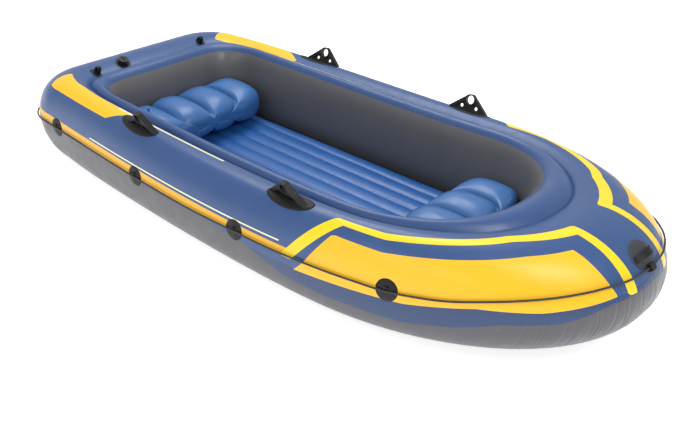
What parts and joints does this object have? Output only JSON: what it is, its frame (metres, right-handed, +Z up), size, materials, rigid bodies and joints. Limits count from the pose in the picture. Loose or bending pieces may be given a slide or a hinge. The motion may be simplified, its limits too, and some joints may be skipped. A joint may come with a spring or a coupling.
{
  "type": "inflatable dinghy",
  "caption": "Oval inflatable boat with a double-tube ring, ribbed air floor, loose seat cushions, oarlocks, screw valves and a grab line all round.",
  "frame": {"origin": "on the ground under the middle of the tubes' length", "axes": "+X towards the bow, +Y to port, +Z up"},
  "size_m": [2.9603, 1.4066, 0.4766],
  "materials": {
    "hull_upper": "smooth coated fabric, light gloss",
    "hull_lower": "smooth coated fabric, light gloss",
    "inner_wall": "smooth coated fabric, light gloss",
    "inner_fabric": "coated fabric",
    "bottom": "smooth coated fabric",
    "floor": "smooth coated fabric, light gloss",
    "cushion": "coated fabric over air",
    "small_valve": "soft moulded vinyl",
    "chamber_valve": "moulded, fine texture",
    "valve_seal": "soft",
    "patch": "welded coated fabric",
    "black_rubber": "moulded, satin",
    "rope": "braided"
  },
  "bodies": {
    "hull": {"outer_upper_skin": "hull_upper", "outer_lower_skin": "hull_lower", "inner_top_skin": "hull_upper", "inner_wall_skin": "inner_wall", "chamber_divider": "inner_fabric", "bottom_sheet": "bottom", "floor_top_sheet": "floor", "floor_webs": "inner_fabric", "floor_valve_ring": "small_valve", "outer_valve_base": "chamber_valve", "inner_valve_base": "chamber_valve", "oarlock_port_aft": "black_rubber", "oarlock_port_fore": "black_rubber", "oarlock_starboard_aft": "black_rubber", "oarlock_starboard_fore": "black_rubber", "oarlock_patch_port_aft": "patch", "oarlock_patch_port_fore": "patch", "oarlock_patch_starboard_aft": "patch", "oarlock_patch_starboard_fore": "patch", "motor_pads": "black_rubber", "motor_lug_port": "black_rubber", "motor_lug_starboard": "black_rubber", "holder_discs": "black_rubber", "holder_lugs": "black_rubber", "bow_patch": "patch", "bow_handle": "black_rubber", "rope_lock": "black_rubber", "grab_line": "rope"},
    "stern_cushion": {"stern_seat": "cushion", "stern_seat_valve_ring": "small_valve"},
    "bow_cushion": {"bow_seat": "cushion", "bow_seat_valve_ring": "small_valve"},
    "stern_seat_stem": {"stern_seat_valve_stem": "small_valve"},
    "stern_seat_plug": {"stern_seat_valve_plug": "small_valve"},
    "bow_seat_stem": {"bow_seat_valve_stem": "small_valve"},
    "bow_seat_plug": {"bow_seat_valve_plug": "small_valve"},
    "floor_stem": {"floor_valve_stem": "small_valve"},
    "floor_plug": {"floor_valve_plug": "small_valve"},
    "outer_seal": {"outer_valve_seal": "valve_seal"},
    "outer_insert": {"outer_valve_insert": "chamber_valve", "outer_valve_flap": "valve_seal"},
    "outer_strap": {"outer_valve_strap": "chamber_valve"},
    "outer_cap": {"outer_valve_cap": "chamber_valve"},
    "inner_seal": {"inner_valve_seal": "valve_seal"},
    "inner_insert": {"inner_valve_insert": "chamber_valve", "inner_valve_flap": "valve_seal"},
    "inner_strap": {"inner_valve_strap": "chamber_valve"},
    "inner_cap": {"inner_valve_cap": "chamber_valve"}
  },
  "joints": [
    {"name": "stern_seat_lift", "type": "slide", "parent": "hull", "child": "stern_cushion", "axis": [0, 0, 1], "range_m": [0, 0.4]},
    {"name": "bow_seat_lift", "type": "slide", "parent": "hull", "child": "bow_cushion", "axis": [0, 0, 1], "range_m": [0, 0.4]},
    {"name": "stern_seat_valve_push", "type": "slide", "parent": "stern_cushion", "child": "stern_seat_stem", "axis": [0, 0, -1], "range_m": [0, 0.013]},
    {"name": "stern_seat_plug_pull", "type": "slide", "parent": "stern_seat_stem", "child": "stern_seat_plug", "axis": [0, 0, 1], "range_m": [0, 0.012]},
    {"name": "bow_seat_valve_push", "type": "slide", "parent": "bow_cushion", "child": "bow_seat_stem", "axis": [0, 0, -1], "range_m": [0, 0.013]},
    {"name": "bow_seat_plug_pull", "type": "slide", "parent": "bow_seat_stem", "child": "bow_seat_plug", "axis": [0, 0, 1], "range_m": [0, 0.012]},
    {"name": "floor_valve_push", "type": "slide", "parent": "hull", "child": "floor_stem", "axis": [0, 0, -1], "range_m": [0, 0.013]},
    {"name": "floor_plug_pull", "type": "slide", "parent": "floor_stem", "child": "floor_plug", "axis": [0, 0, 1], "range_m": [0, 0.012]},
    {"name": "outer_insert_lift", "type": "slide", "parent": "hull", "child": "outer_seal", "axis": [0.3419, 0, 0.9397], "range_m": [0, 0.008]},
    {"name": "outer_insert_turn", "type": "hinge", "parent": "outer_seal", "child": "outer_insert", "pos_m": [-1.24472, -0.158, 0.38586], "axis": [0.3419, 0, 0.9397], "range_deg": [0, 720]},
    {"name": "outer_cap_lift", "type": "slide", "parent": "outer_insert", "child": "outer_strap", "axis": [0.3419, 0, 0.9397], "range_m": [0, 0.006]},
    {"name": "outer_cap_turn", "type": "hinge", "parent": "outer_strap", "child": "outer_cap", "pos_m": [-1.24472, -0.158, 0.38586], "axis": [0.3419, 0, 0.9397], "range_deg": [0, 540]},
    {"name": "inner_insert_lift", "type": "slide", "parent": "hull", "child": "inner_seal", "axis": [0, 1, 0], "range_m": [0, 0.008]},
    {"name": "inner_insert_turn", "type": "hinge", "parent": "inner_seal", "child": "inner_insert", "pos_m": [-0.29428, -0.41914, 0.1985], "axis": [0, 1, 0], "range_deg": [0, 720]},
    {"name": "inner_cap_lift", "type": "slide", "parent": "inner_insert", "child": "inner_strap", "axis": [0, 1, 0], "range_m": [0, 0.006]},
    {"name": "inner_cap_turn", "type": "hinge", "parent": "inner_strap", "child": "inner_cap", "pos_m": [-0.29428, -0.41914, 0.1985], "axis": [0, 1, 0], "range_deg": [0, 540]}
  ],
  "couplings": [
    {"joint": "outer_insert_turn", "follows": "outer_insert_lift", "rad_per_m": 1570.8},
    {"joint": "outer_cap_turn", "follows": "outer_cap_lift", "rad_per_m": 1570.8},
    {"joint": "inner_insert_turn", "follows": "inner_insert_lift", "rad_per_m": 1570.8},
    {"joint": "inner_cap_turn", "follows": "inner_cap_lift", "rad_per_m": 1570.8}
  ]
}
